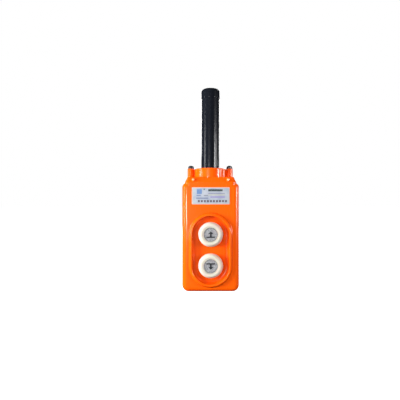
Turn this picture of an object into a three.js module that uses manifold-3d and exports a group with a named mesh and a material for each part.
// A two-button pendant control station for a hoist, in millimetres.
// +Z is up, the buttons face -Y, and the origin is on the base face, under the cable's axis.
import * as THREE from "three";
import { mergeVertices } from "three/addons/utils/BufferGeometryUtils.js";
import Module from "manifold-3d";

const wasm = await Module();
wasm.setup();

// ---- Driving dimensions ----
const FIT = 0.1; // gap between two faces that rest on each other
const PLAY = 0.3; // radial gap of a shank in its hole
const PAST = 1; // how far a cutting shape runs past the face that it cuts
const FAR = 500; // beyond every face of the station

const WALL = 3;
const CASE_WIDTH = 75;
const CASE_HEIGHT = 144; // base to shoulders
const FRONT_Y = -26; // front face
const RIM_Y = 20.5; // open back of the front case
const BACK_Y = 26; // outside of the rear cover
const EDGE_RADIUS = 6.5; // round edge of the front face
const BASE_CORNER = 8.5;
const SHOULDER_CORNER = 7;

const BUTTON_PITCH = 41;
const BUTTON_MID_Z = 55; // halfway between the two buttons
const UP_Z = BUTTON_MID_Z + BUTTON_PITCH / 2;
const DOWN_Z = BUTTON_MID_Z - BUTTON_PITCH / 2;

const GUARD_RADIUS = 28.2; // outside of the raised guard round each button
const CREST_Y = FRONT_Y - 4; // top of the guard
const FLOOR_Y = FRONT_Y + 2.5; // floor inside the guard
const FLOOR_RADIUS = 20;
const FOOT_WIDTH = 4.3; // of the hollow curve round the floor
const PANEL_HOLE = 12.2;

const BOOT_RADIUS = 16.2;
const CAP_RADIUS = 8.9;
const CAP_FACE_Y = FLOOR_Y - 7.1;

const NAMEPLATE_HALF_WIDTH = 24.7;
const NAMEPLATE_Z = [114.9, 137.2];
const NAMEPLATE_THICKNESS = 0.4;

const NECK_TOP_Z = 151; // top of the moulded neck
const NECK_SLOPE = 3.2;
const NECK_WIDTH = 68;
const PIP_X = 22.8; // the two small pips on the neck's slope
const PIP_RADIUS = 2.6;
const PIP_SINK = 1.1; // centre of a pip, behind the front face
const CABLE_HOLE = 9;
const COLLAR_RADIUS = 21.5;
const COLLAR_TOP_Z = 163.3;
const EAR_X = 26.3;
const EAR_RADIUS = 4.7;
const INSERT_RADIUS = 3.2;
const INSERT_DEPTH = 8;

const SLEEVE_RADIUS = 12.2;
const SLEEVE_BORE = 7.8; // takes a cable of up to 15 mm
const SLEEVE_TOP_Z = 272;
const SLEEVE_LIP = 0.7; // how far the lip at the top stands out
const FLANGE_RADIUS = 17;
const FLANGE_THICKNESS = 3;

const COVER_SCREW_X = 29.5;
const COVER_SCREW_Z = [10.5, 133];
const COVER_PILLAR_RADIUS = 4.5;
const SADDLE_Z = 124;
const SADDLE_WIDTH = 8;
const SADDLE_SCREW_X = 13;
const SADDLE_FOOT_Y = -8.9;
const EARTH_X = 24;
const EARTH_Z = 108;
const EARTH_WASHER_Y = [-7.9, -7];

// Contact blocks: distances across (x), up (z) and along the plunger (y).
const BLOCK_FRONT_Y = -16;
const BLOCK_BACK_Y = 14;
const BLOCK_HALF_WIDTH = 19;
const BLOCK_HALF_HEIGHT = 15;
const LUG_X = 23.3;
const LUG_Y = [-9, -6.5];
const LUG_REACH = 3.7; // from a lug's screw to its end
const CONTACT_X = 8; // contact tips, either side of the plunger
const CONTACT_GAP = 2;
const BRIDGE_Y = [-0.5, 0.5];
const TIP_HEIGHT = 0.6;
const TIP_RADIUS = 1.8;
const TERMINAL_X = 15.8;
const STRIP_Y = BRIDGE_Y[1] + TIP_HEIGHT + CONTACT_GAP + TIP_HEIGHT; // front of a fixed strip

// Pilot holes in the case's pillars.
const CASE_PILOT = 1.8;
const LUG_PILOT = 1.6;

// Screws: radius and height of the head, radius and length of the shank.
const COVER_SCREW = { head: 3.8, height: 2.2, shank: 1.5, length: 17 };
const GLAND_SCREW = { head: 3.8, height: 3.2, shank: 2, length: 18.5 };
const LUG_SCREW = { head: 2.8, height: 2, shank: 1.3, length: 11 };
const TERMINAL_SCREW = { head: 2.7, height: 2.2, shank: 1.4, length: 6.5 };
const SADDLE_SCREW = { head: 3.2, height: 2.2, shank: 1.5, length: 9 };

// ---- Materials ----
const finish = (color, roughness, metalness = 0) =>
  new THREE.MeshStandardMaterial({ color, roughness, metalness });
const ORANGE = finish(0xff6a0d, 0.32);
const RUBBER = finish(0x1c2026, 0.5);
const WHITE = finish(0xf4f2ea, 0.45);
const GREY = finish(0x8b8a90, 0.4);
const INK = finish(0x14161a, 0.6);
const FOIL = finish(0xc9cfd8, 0.35, 0.6);
const ZINC = finish(0xa9acae, 0.35, 0.9);
const BLACKENED = finish(0x3a3c40, 0.4, 0.9);
const SPRING = finish(0x8d9093, 0.3, 0.9);
const BRASS = finish(0xc49a4a, 0.35, 0.9);
const BAKELITE = finish(0x3a2317, 0.45);

// ---- Solids from three.js shapes ----
/** A closed three.js geometry as a solid that can be joined and cut. */
function solid(geometry) {
  const flat = geometry.index ? geometry.toNonIndexed() : geometry;
  const bare = new THREE.BufferGeometry();
  bare.setAttribute("position", flat.getAttribute("position"));
  const merged = mergeVertices(bare, 1e-4);
  const vertProperties = merged.getAttribute("position").array;
  const triVerts = new Uint32Array(merged.index.array);
  return new wasm.Manifold(new wasm.Mesh({ numProp: 3, vertProperties, triVerts }));
}

/** A block between two corners. */
function block([x0, x1], [y0, y1], [z0, z1]) {
  const box = new THREE.BoxGeometry(x1 - x0, y1 - y0, z1 - z0);
  return solid(box.translate((x0 + x1) / 2, (y0 + y1) / 2, (z0 + z1) / 2));
}

const loopOf = (profile) => {
  const points = profile.map(([r, along]) => new THREE.Vector2(r, along));
  const onAxis = profile[0][0] === 0;
  return onAxis ? points : [...points, points[0]];
};

/** A turned piece round an axis along Y. The profile is [radius, y], anticlockwise. */
function turnedY(profile, x, z, sides = 24) {
  return solid(new THREE.LatheGeometry(loopOf(profile), sides).translate(x, 0, z));
}

/** A turned piece round an axis along Z. The profile is [radius, z], anticlockwise. */
function turnedZ(profile, x, y, sides = 24) {
  const geometry = new THREE.LatheGeometry(loopOf(profile), sides);
  return solid(geometry.rotateX(Math.PI / 2).translate(x, y, 0));
}

const rodProfile = (radius, [from, to]) => [
  [0, from],
  [radius, from],
  [radius, to],
  [0, to],
];
const rodY = (radius, span, x, z, sides) => turnedY(rodProfile(radius, span), x, z, sides);
const rodZ = (radius, span, x, y, sides) => turnedZ(rodProfile(radius, span), x, y, sides);

/**
 * A plate whose outline lies in XZ, from y0 to y1. Its front or back edge can be rounded, over
 * that depth and by inset across; curve and steps are the flats round a corner and down an edge.
 */
function plateY(shape, [y0, y1], { front = 0, back = 0, inset, curve = 3, steps = 3 } = {}) {
  const bevel = front || back;
  const across = inset ?? bevel;
  const geometry = new THREE.ExtrudeGeometry(shape, {
    depth: y1 - y0 - bevel,
    bevelEnabled: bevel > 0,
    bevelThickness: bevel,
    bevelSize: across,
    bevelOffset: -across,
    bevelSegments: steps,
    curveSegments: curve,
  }).rotateX(Math.PI / 2);
  // One end keeps its bevel, and the other end's bevel is cut away.
  const whole = solid(geometry.translate(0, front ? y1 : y1 - bevel, 0));
  if (!bevel) return whole;
  const cut = front ? [y1, FAR] : [-FAR, y0];
  return whole.subtract(block([-FAR, FAR], cut, [-FAR, FAR]));
}

/** A plate whose outline lies in XY, from z0 to z1. */
function plateZ(shape, [z0, z1], curve = 4) {
  const geometry = new THREE.ExtrudeGeometry(shape, {
    depth: z1 - z0,
    bevelEnabled: false,
    curveSegments: curve,
  });
  return solid(geometry.translate(0, 0, z0));
}

const joined = (...solids) => solids.reduce((whole, next) => whole.add(next));
const bothSides = (make) => joined(make(-1), make(1));

// ---- Outlines ----
/** A rectangle with round corners, with one radius for the low corners and one for the high. */
function roundRect([x0, x1], [y0, y1], low, high = low) {
  const shape = new THREE.Shape();
  shape.moveTo(x0 + low, y0);
  shape.lineTo(x1 - low, y0);
  shape.absarc(x1 - low, y0 + low, low, -Math.PI / 2, 0);
  shape.lineTo(x1, y1 - high);
  shape.absarc(x1 - high, y1 - high, high, 0, Math.PI / 2);
  shape.lineTo(x0 + high, y1);
  shape.absarc(x0 + high, y1 - high, high, Math.PI / 2, Math.PI);
  shape.lineTo(x0, y0 + low);
  shape.absarc(x0 + low, y0 + low, low, Math.PI, 1.5 * Math.PI);
  return shape;
}

/** The case's outline, drawn in by a distance. */
const caseOutline = (inset = 0) =>
  roundRect(
    [inset - CASE_WIDTH / 2, CASE_WIDTH / 2 - inset],
    [inset, CASE_HEIGHT - inset],
    Math.max(BASE_CORNER - inset, 1),
    Math.max(SHOULDER_CORNER - inset, 1),
  );

const TRACK_STEPS = 10; // flats in each half circle of the racetrack

/** The racetrack round both buttons. */
function racetrack(radius) {
  const shape = new THREE.Shape();
  shape.absarc(0, UP_Z, radius, 0, Math.PI);
  shape.absarc(0, DOWN_Z, radius, Math.PI, 2 * Math.PI);
  shape.closePath();
  return shape;
}

// ---- Housing ----
/** The sloping neck that carries the gland cap, with its two small pips. */
function neck() {
  const bottomZ = CASE_HEIGHT - 7;
  const slopeZ = CASE_HEIGHT + 0.5;
  const half = NECK_WIDTH / 2;
  const plan = roundRect([-half, half], [FRONT_Y, BACK_Y], EDGE_RADIUS);
  const geometry = new THREE.ExtrudeGeometry(plan, {
    depth: slopeZ - bottomZ,
    bevelEnabled: true,
    bevelThickness: NECK_TOP_Z - slopeZ,
    bevelSize: NECK_SLOPE,
    bevelOffset: -NECK_SLOPE,
    bevelSegments: 1,
    curveSegments: 4,
  });
  const tapered = solid(geometry.translate(0, 0, bottomZ));
  const below = block([-FAR, FAR], [-FAR, FAR], [-FAR, bottomZ]);
  const behindCase = block([-FAR, FAR], [RIM_Y, FAR], [-FAR, CASE_HEIGHT + 2 * FIT]);
  const pip = (side) => {
    const ball = new THREE.SphereGeometry(PIP_RADIUS, 12, 8);
    return solid(ball.translate(side * PIP_X, FRONT_Y + PIP_SINK, CASE_HEIGHT + 3));
  };
  return joined(tapered.subtract(below).subtract(behindCase), bothSides(pip));
}

/** Pillars inside the case, each with its pilot hole, as [solid, hole]. */
function pillars() {
  const rootY = FRONT_Y + WALL - 0.5;
  const pilotY = rootY + 4;
  const made = [];
  const pillar = (x, z, radius, pilot, topY) => {
    const solidPart = rodY(radius, [rootY, topY], x, z, 12);
    made.push([solidPart, rodY(pilot, [pilotY, topY + PAST], x, z, 8)]);
  };
  for (const side of [-1, 1]) {
    for (const z of COVER_SCREW_Z) {
      pillar(side * COVER_SCREW_X, z, COVER_PILLAR_RADIUS, CASE_PILOT, RIM_Y - 0.5);
    }
    for (const z of [UP_Z, DOWN_Z]) pillar(side * LUG_X, z, 3.5, LUG_PILOT, LUG_Y[0] - FIT);
    pillar(side * SADDLE_SCREW_X, SADDLE_Z, 3.8, CASE_PILOT, SADDLE_FOOT_Y - FIT);
  }
  pillar(EARTH_X, EARTH_Z, 4.2, CASE_PILOT, EARTH_WASHER_Y[0] - FIT);
  return made;
}

/** The low wall that the cable rests on, under the saddle. */
function cableCradle() {
  const half = SADDLE_WIDTH / 2;
  const wall = block([-7, 7], [FRONT_Y + WALL - 0.5, -5.5], [SADDLE_Z - half, SADDLE_Z + half]);
  const span = [SADDLE_Z - half - PAST, SADDLE_Z + half + PAST];
  return wall.subtract(rodZ(SLEEVE_BORE, span, 0, 0, 16));
}

function frontCase() {
  const track = { curve: TRACK_STEPS };
  const shell = plateY(caseOutline(), [FRONT_Y, RIM_Y], { front: EDGE_RADIUS });
  const hollow = plateY(caseOutline(WALL), [FRONT_Y + WALL, RIM_Y + PAST]);
  const guardEdge = { ...track, front: FRONT_Y - CREST_Y, inset: 2.8 };
  const guard = plateY(racetrack(GUARD_RADIUS), [CREST_Y, FRONT_Y + PAST], guardEdge);
  const pad = plateY(racetrack(FLOOR_RADIUS + 3.5), [FRONT_Y + PAST, FLOOR_Y + WALL], track);
  // The recess narrows to a round foot, so the shape that cuts it has a round back edge.
  const footEdge = { ...track, back: FLOOR_Y - CREST_Y - 0.5, inset: FOOT_WIDTH };
  const recess = plateY(racetrack(FLOOR_RADIUS + FOOT_WIDTH), [CREST_Y - PAST, FLOOR_Y], footEdge);
  let body = joined(shell, neck()).subtract(hollow);
  body = joined(body, guard, pad, cableCradle()).subtract(recess);
  for (const [pillar, pilot] of pillars()) body = body.add(pillar).subtract(pilot);
  for (const z of [UP_Z, DOWN_Z]) {
    body = body.subtract(rodY(PANEL_HOLE, [FLOOR_Y - PAST, FLOOR_Y + WALL + PAST], 0, z, 24));
  }
  const pocketSpan = [NECK_TOP_Z - INSERT_DEPTH - 2 * FIT, NECK_TOP_Z + PAST];
  const pocket = (side) => rodZ(INSERT_RADIUS + PLAY, pocketSpan, side * EAR_X, 0, 16);
  const cableHole = rodZ(CABLE_HOLE, [CASE_HEIGHT - WALL - PAST, NECK_TOP_Z + PAST], 0, 0);
  return body.subtract(bothSides(pocket)).subtract(cableHole);
}

const COUNTERBORE_Y = BACK_Y - 2.5; // floor of the cover screws' counterbores

function rearCover() {
  const plate = plateY(caseOutline(), [RIM_Y + 1, BACK_Y], { back: 3 });
  const lipSpan = [RIM_Y - 3, RIM_Y + 1.5];
  const lipInset = WALL + PLAY;
  const inner = plateY(caseOutline(lipInset + 2), [lipSpan[0] - PAST, lipSpan[1] + PAST]);
  let cover = plateY(caseOutline(lipInset), lipSpan).subtract(inner).add(plate);
  const cut = (radius, span, x, z, sides) => {
    cover = cover.subtract(rodY(radius, span, x, z, sides));
  };
  for (const x of [-COVER_SCREW_X, COVER_SCREW_X]) {
    for (const z of COVER_SCREW_Z) {
      cut(COVER_PILLAR_RADIUS + PLAY, [lipSpan[0] - PAST, RIM_Y + 1], x, z, 12);
      cut(COVER_SCREW.head + PLAY, [COUNTERBORE_Y, BACK_Y + PAST], x, z, 16);
      cut(2.3, [RIM_Y, BACK_Y], x, z, 12);
    }
  }
  return cover;
}

function coverGasket() {
  const span = [RIM_Y + FIT, RIM_Y + 1 - FIT];
  const inside = plateY(caseOutline(WALL - 0.2), [span[0] - PAST, span[1] + PAST]);
  return plateY(caseOutline(0.6), span).subtract(inside);
}

function glandCap() {
  const bottom = NECK_TOP_Z + FIT;
  const chamfer = 1;
  const collar = turnedZ(
    [
      [0, bottom],
      [COLLAR_RADIUS, bottom],
      [COLLAR_RADIUS, COLLAR_TOP_Z - chamfer],
      [COLLAR_RADIUS - chamfer, COLLAR_TOP_Z],
      [0, COLLAR_TOP_Z],
    ],
    0,
    0,
    32,
  );
  const post = (side) => rodZ(EAR_RADIUS, [bottom, COLLAR_TOP_Z], side * EAR_X, 0, 16);
  const web = block([-EAR_X, EAR_X], [-1.5, 1.5], [bottom, COLLAR_TOP_Z - 1.5]);
  const through = [bottom - PAST, COLLAR_TOP_Z + PAST];
  const screwHole = (side) => rodZ(GLAND_SCREW.shank + PLAY, through, side * EAR_X, 0, 12);
  const bore = rodZ(SLEEVE_RADIUS + PLAY, through, 0, 0, 24);
  const seat = rodZ(FLANGE_RADIUS + PLAY, [through[0], bottom + FLANGE_THICKNESS + 2 * FIT], 0, 0, 24);
  return joined(collar, web, bothSides(post)).subtract(joined(bore, seat)).subtract(bothSides(screwHole));
}

function cableSleeve() {
  const bottom = NECK_TOP_Z + 2 * FIT;
  const lip = SLEEVE_RADIUS + SLEEVE_LIP;
  return turnedZ(
    [
      [SLEEVE_BORE, bottom],
      [FLANGE_RADIUS, bottom],
      [FLANGE_RADIUS, bottom + FLANGE_THICKNESS - FIT],
      [SLEEVE_RADIUS, bottom + FLANGE_THICKNESS - FIT],
      [SLEEVE_RADIUS, SLEEVE_TOP_Z - 13],
      [lip, SLEEVE_TOP_Z - 12.2],
      [lip, SLEEVE_TOP_Z - 4],
      [lip - 1, SLEEVE_TOP_Z - 1.4],
      [lip - 2.6, SLEEVE_TOP_Z],
      [SLEEVE_BORE, SLEEVE_TOP_Z],
    ],
    0,
    0,
    24,
  );
}

function nameplate() {
  const outline = roundRect([-NAMEPLATE_HALF_WIDTH, NAMEPLATE_HALF_WIDTH], NAMEPLATE_Z, 0.8);
  const back = FRONT_Y - FIT;
  return plateY(outline, [back - NAMEPLATE_THICKNESS, back], { curve: 2 });
}

// ---- Fasteners ----
/** A pan-head screw's profile: under the head at one level, the head on its plus side. */
function screwProfile({ head, height, shank, length }, underHead) {
  const profile = [
    [0, -length],
    [shank, 0.8 - length],
    [shank, 0],
    [head, 0],
    [head, height * 0.55],
    [head * 0.7, height],
    [0, height],
  ];
  return profile.map(([r, along]) => [r, along + underHead]);
}
const screwY = (size, underHeadY, x, z) => turnedY(screwProfile(size, underHeadY), x, z, 12);
const screwZ = (size, underHeadZ, x, y) => turnedZ(screwProfile(size, underHeadZ), x, y, 16);

/** A ring's profile, between two levels along its axis. */
const ringProfile = (outer, inner, [from, to]) => [
  [inner, from],
  [outer, from],
  [outer, to],
  [inner, to],
];
const washerY = (outer, inner, span, x, z) => turnedY(ringProfile(outer, inner, span), x, z, 16);
const washerZ = (outer, inner, span, x, y) => turnedZ(ringProfile(outer, inner, span), x, y, 16);

// ---- Cable saddle ----
function cableSaddle() {
  const thickness = 1.5;
  const inner = SLEEVE_BORE + 0.4;
  const outer = inner + thickness;
  const foot = 17;
  const footTop = SADDLE_FOOT_Y + thickness;
  const strap = new THREE.Shape();
  strap.moveTo(foot, SADDLE_FOOT_Y);
  strap.lineTo(foot, footTop);
  strap.lineTo(outer, footTop);
  strap.absarc(0, 0, outer, 0, Math.PI);
  strap.lineTo(-outer, footTop);
  strap.lineTo(-foot, footTop);
  strap.lineTo(-foot, SADDLE_FOOT_Y);
  strap.lineTo(-inner, SADDLE_FOOT_Y);
  strap.absarc(0, 0, inner, Math.PI, 0, true);
  strap.lineTo(inner, SADDLE_FOOT_Y);
  const half = SADDLE_WIDTH / 2 - 0.5;
  const bent = plateZ(strap, [SADDLE_Z - half, SADDLE_Z + half], 8);
  const holeSpan = [SADDLE_FOOT_Y - PAST, footTop + PAST];
  const hole = (side) => rodY(1.8, holeSpan, side * SADDLE_SCREW_X, SADDLE_Z, 10);
  return bent.subtract(bothSides(hole));
}

// ---- Buttons ----
const WEB_Y = [FLOOR_Y - 4.1, FLOOR_Y - 2.7]; // the boot's web, behind the cap
const SHANK_END_Y = FLOOR_Y - 0.7;
const SHANK_RADIUS = 3;

/** The flexible boot: a dome with a cup for the cap, and a neck that grips the panel's hole. */
function boot(z) {
  const crown = FLOOR_Y - 7.8;
  const cupInner = CAP_RADIUS + PLAY;
  const cupOuter = cupInner + 1;
  const flangeBack = FLOOR_Y - FIT;
  const flangeFront = flangeBack - 1.3;
  const neckOuter = PANEL_HOLE - PLAY;
  const neckInner = neckOuter - 1.3;
  const lipFront = FLOOR_Y + WALL + PLAY;
  const lipRadius = neckOuter + 1.7;
  return turnedY(
    [
      [SHANK_RADIUS + PLAY, WEB_Y[0]],
      [cupInner, WEB_Y[0]],
      [cupInner, crown + 1],
      [10.3, crown],
      [12, crown],
      [14, crown + 1.3],
      [15.6, crown + 4.2],
      [BOOT_RADIUS, crown + 6.4],
      [BOOT_RADIUS, flangeBack],
      [neckOuter, flangeBack],
      [neckOuter, lipFront],
      [lipRadius, lipFront],
      [lipRadius, lipFront + 1.5],
      [neckInner, lipFront + 1.5],
      [neckInner, flangeFront],
      [14.4, flangeFront],
      [14.2, crown + 4.6],
      [12.9, crown + 2.4],
      [11, crown + 1.5],
      [cupOuter, crown + 2.3],
      [cupOuter, WEB_Y[1]],
      [SHANK_RADIUS + PLAY, WEB_Y[1]],
    ],
    0,
    z,
    24,
  );
}

/** The cap: a disc in the boot's cup, with a shank through the boot's web. */
function buttonCap(z) {
  const under = WEB_Y[0] - 2 * FIT;
  return turnedY(
    [
      [0, CAP_FACE_Y],
      [CAP_RADIUS - 0.6, CAP_FACE_Y],
      [CAP_RADIUS, CAP_FACE_Y + 0.6],
      [CAP_RADIUS, under],
      [SHANK_RADIUS, under],
      [SHANK_RADIUS, SHANK_END_Y],
      [0, SHANK_END_Y],
    ],
    0,
    z,
    24,
  );
}

/** The ring that holds the boot's web against the cap. */
const capRetainer = (z) =>
  washerY(6.5, SHANK_RADIUS + PLAY, [WEB_Y[1] + FIT, SHANK_END_Y - FIT], 0, z);

/** An arrow standing on a bar, drawn in XZ about (0, z); it points down when way is -1. */
function arrowMark(z, way) {
  const halfBar = 5.6;
  const bar = 1.7;
  const foot = -4.1;
  const shoulder = 1;
  const tip = 4.4;
  const halfShaft = 1.1;
  const halfHead = 3.3;
  const rightSide = [
    [halfBar, foot],
    [halfBar, foot + bar],
    [halfShaft, foot + bar],
    [halfShaft, shoulder],
    [halfHead, shoulder],
  ];
  const leftSide = rightSide.map(([x, h]) => [-x, h]).reverse();
  const outline = [...rightSide, [0, tip], ...leftSide];
  const shape = new THREE.Shape(outline.map(([x, h]) => new THREE.Vector2(x, z + way * h)));
  return plateY(shape, [CAP_FACE_Y - 0.4, CAP_FACE_Y - FIT / 2]);
}

const SHOULDER_Y = [-7, -6];
const ROD_RADIUS = 3.5;
const PIN_RADIUS = 1.8;
const CLIP_Y = [BRIDGE_Y[1] + 0.2, BRIDGE_Y[1] + 1];

/** The plunger: a rod behind the cap's shank, a stop shoulder, and a pin that carries the bridge. */
function plunger(z) {
  const end = CLIP_Y[1] + 1.2;
  return turnedY(
    [
      [0, SHANK_END_Y + FIT],
      [ROD_RADIUS, SHANK_END_Y + FIT],
      [ROD_RADIUS, SHOULDER_Y[0]],
      [5, SHOULDER_Y[0]],
      [5, SHOULDER_Y[1]],
      [PIN_RADIUS, SHOULDER_Y[1]],
      [PIN_RADIUS, end],
      [0, end],
    ],
    0,
    z,
    20,
  );
}

const retainingClip = (z) => washerY(3.2, PIN_RADIUS + 0.15, CLIP_Y, 0, z);

/** An open-ended coil spring round the plunger's axis. */
function coilSpring(z, [y0, y1], coilRadius, wire, turns) {
  class Coil extends THREE.Curve {
    getPoint(t, target = new THREE.Vector3()) {
      const angle = 2 * Math.PI * turns * t;
      const along = y0 + wire + (y1 - y0 - 2 * wire) * t;
      return target.set(coilRadius * Math.cos(angle), along, z + coilRadius * Math.sin(angle));
    }
  }
  const section = new THREE.Shape().absarc(0, 0, wire, 0, 2 * Math.PI);
  const coil = new THREE.ExtrudeGeometry(section, {
    extrudePath: new Coil(),
    steps: turns * 8,
    bevelEnabled: false,
    curveSegments: 2,
  });
  return solid(coil);
}

// ---- Contact blocks ----
const CAVITY = { halfWidth: 11, halfHeight: 6, frontY: SHOULDER_Y[0] - PLAY };
const STRIP_THICKNESS = 1;
const BACK_PLATE_Y = [BLOCK_BACK_Y - 2, BLOCK_BACK_Y - 0.4];

/** The moulded block: plunger channel, contact cavity, open terminal pockets and mounting lugs. */
function contactBlock(z) {
  const across = [-BLOCK_HALF_WIDTH, BLOCK_HALF_WIDTH];
  const high = [z - BLOCK_HALF_HEIGHT, z + BLOCK_HALF_HEIGHT];
  const body = block(across, [BLOCK_FRONT_Y, BLOCK_BACK_Y], high);
  const nose = rodY(7.5, [BLOCK_FRONT_Y - 1.2, BLOCK_FRONT_Y + PAST], 0, z, 20);
  const lugEnd = LUG_X + LUG_REACH;
  const lugs = block([-lugEnd, lugEnd], LUG_Y, [z - 4.5, z + 4.5]);
  const cavity = block(
    [-CAVITY.halfWidth, CAVITY.halfWidth],
    [CAVITY.frontY, BLOCK_BACK_Y + PAST],
    [z - CAVITY.halfHeight, z + CAVITY.halfHeight],
  );
  const seatSpan = [BACK_PLATE_Y[0] - FIT, BLOCK_BACK_Y + PAST];
  const plateSeat = block([-11.2, 11.2], seatSpan, [z - 9.3, z + 9.3]);
  const channel = rodY(ROD_RADIUS + PLAY, [BLOCK_FRONT_Y - 3, 0], 0, z, 20);
  const outwards = (side, from) => (side > 0 ? [from, FAR] : [-FAR, -from]);
  const pocketSpan = [STRIP_Y + STRIP_THICKNESS + FIT, BLOCK_BACK_Y + PAST];
  const pocket = (side) => block(outwards(side, 12.8), pocketSpan, [z - 5, z + 5]);
  const slotSpan = [STRIP_Y - FIT, STRIP_Y + STRIP_THICKNESS + 2 * FIT];
  const slot = (side) => block(outwards(side, 9), slotSpan, [z - 3.6, z + 3.6]);
  const terminalSpan = [-4, STRIP_Y + PAST];
  const terminalHole = (side) =>
    rodY(TERMINAL_SCREW.shank + PLAY, terminalSpan, side * TERMINAL_X, z, 8);
  const lugSpan = [LUG_Y[0] - PAST, LUG_Y[1] + PAST];
  const lugHole = (side) => rodY(LUG_SCREW.shank + PLAY, lugSpan, side * LUG_X, z, 10);
  return joined(body, nose, lugs)
    .subtract(joined(cavity, plateSeat, channel))
    .subtract(joined(bothSides(pocket), bothSides(slot)))
    .subtract(joined(bothSides(terminalHole), bothSides(lugHole)));
}

function blockBackPlate(z) {
  return plateY(roundRect([-10.9, 10.9], [z - 9, z + 9], 1.5), BACK_PLATE_Y, { curve: 2 });
}

/** A fixed contact: a strip with a riveted tip, drilled for its terminal screw. */
function fixedContact(z, side) {
  const ends = side > 0 ? [6, 18.6] : [-18.6, -6];
  const strip = block(ends, [STRIP_Y, STRIP_Y + STRIP_THICKNESS], [z - 3.2, z + 3.2]);
  const tip = rodY(TIP_RADIUS, [STRIP_Y - TIP_HEIGHT, STRIP_Y + 0.3], side * CONTACT_X, z, 12);
  const holeSpan = [STRIP_Y - PAST, STRIP_Y + STRIP_THICKNESS + PAST];
  const hole = rodY(TERMINAL_SCREW.shank + PLAY, holeSpan, side * TERMINAL_X, z, 8);
  return strip.add(tip).subtract(hole);
}

/** The moving bridge, with a contact tip at each end. */
function contactBridge(z) {
  const strip = block([-10, 10], BRIDGE_Y, [z - 3, z + 3]);
  const tip = (side) => rodY(TIP_RADIUS, [0, BRIDGE_Y[1] + TIP_HEIGHT], side * CONTACT_X, z, 12);
  const hole = rodY(PIN_RADIUS + 0.2, [-2, 2], 0, z, 12);
  return strip.add(bothSides(tip)).subtract(hole);
}

// ---- Assembly ----
const station = new THREE.Group();
station.name = "pendant_control_station";

/** Adds a solid to the station as a named mesh. */
function add(name, made, material) {
  const { vertProperties, triVerts } = made.getMesh();
  const geometry = new THREE.BufferGeometry();
  geometry.setAttribute("position", new THREE.BufferAttribute(vertProperties, 3));
  geometry.setIndex(new THREE.BufferAttribute(triVerts, 1));
  geometry.computeVertexNormals();
  const mesh = new THREE.Mesh(geometry, material);
  mesh.name = name;
  station.add(mesh);
}

add("front_case", frontCase(), ORANGE);
add("rear_cover", rearCover(), ORANGE);
add("cover_gasket", coverGasket(), RUBBER);
add("gland_cap", glandCap(), ORANGE);
add("cable_sleeve", cableSleeve(), RUBBER);
add("nameplate", nameplate(), FOIL);

for (const [height, z] of [["lower", COVER_SCREW_Z[0]], ["upper", COVER_SCREW_Z[1]]]) {
  for (const [hand, side] of [["left", -1], ["right", 1]]) {
    const made = screwY(COVER_SCREW, COUNTERBORE_Y + FIT, side * COVER_SCREW_X, z);
    add(`cover_screw_${height}_${hand}`, made, ZINC);
  }
}

const GLAND_SCREW_PLAY = GLAND_SCREW.shank + PLAY;
for (const [hand, side] of [["left", -1], ["right", 1]]) {
  const x = side * EAR_X;
  const insertSpan = [NECK_TOP_Z - INSERT_DEPTH, NECK_TOP_Z];
  const washerSpan = [COLLAR_TOP_Z + FIT, COLLAR_TOP_Z + 0.9];
  const saddleHeadY = SADDLE_FOOT_Y + 1.6;
  add(`gland_screw_${hand}`, screwZ(GLAND_SCREW, COLLAR_TOP_Z + 1, x, 0), BLACKENED);
  add(`gland_washer_${hand}`, washerZ(4.3, GLAND_SCREW_PLAY, washerSpan, x, 0), BLACKENED);
  add(`threaded_insert_${hand}`, washerZ(INSERT_RADIUS, GLAND_SCREW_PLAY, insertSpan, x, 0), BRASS);
  add(`saddle_screw_${hand}`, screwY(SADDLE_SCREW, saddleHeadY, side * SADDLE_SCREW_X, SADDLE_Z), ZINC);
}
add("cable_saddle", cableSaddle(), ZINC);
add("earth_screw", screwY(SADDLE_SCREW, EARTH_WASHER_Y[1] + FIT, EARTH_X, EARTH_Z), BRASS);
add("earth_washer", washerY(4.2, 1.8, EARTH_WASHER_Y, EARTH_X, EARTH_Z), BRASS);

for (const [button, z, way] of [["up", UP_Z, 1], ["down", DOWN_Z, -1]]) {
  add(`${button}_boot`, boot(z), WHITE);
  add(`${button}_cap`, buttonCap(z), GREY);
  add(`${button}_arrow`, arrowMark(z, way), INK);
  add(`${button}_cap_retainer`, capRetainer(z), GREY);
  add(`${button}_plunger`, plunger(z), BAKELITE);
  add(`${button}_clip`, retainingClip(z), SPRING);
  const returnSpan = [CLIP_Y[1] + FIT, BACK_PLATE_Y[0] - FIT];
  add(`${button}_return_spring`, coilSpring(z, returnSpan, 2.75, 0.35, 5), SPRING);
  const bridgeSpan = [SHOULDER_Y[1] + FIT, BRIDGE_Y[0] - FIT];
  add(`${button}_bridge_spring`, coilSpring(z, bridgeSpan, 2.6, 0.3, 3), SPRING);
  add(`${button}_contact_bridge`, contactBridge(z), BRASS);
  add(`${button}_contact_block`, contactBlock(z), BAKELITE);
  add(`${button}_block_back_plate`, blockBackPlate(z), BAKELITE);
  for (const [hand, side] of [["left", -1], ["right", 1]]) {
    const terminalY = STRIP_Y + STRIP_THICKNESS + FIT;
    add(`${button}_fixed_contact_${hand}`, fixedContact(z, side), BRASS);
    add(`${button}_terminal_screw_${hand}`, screwY(TERMINAL_SCREW, terminalY, side * TERMINAL_X, z), ZINC);
    add(`${button}_block_screw_${hand}`, screwY(LUG_SCREW, LUG_Y[1] + FIT, side * LUG_X, z), ZINC);
  }
}

export default station;
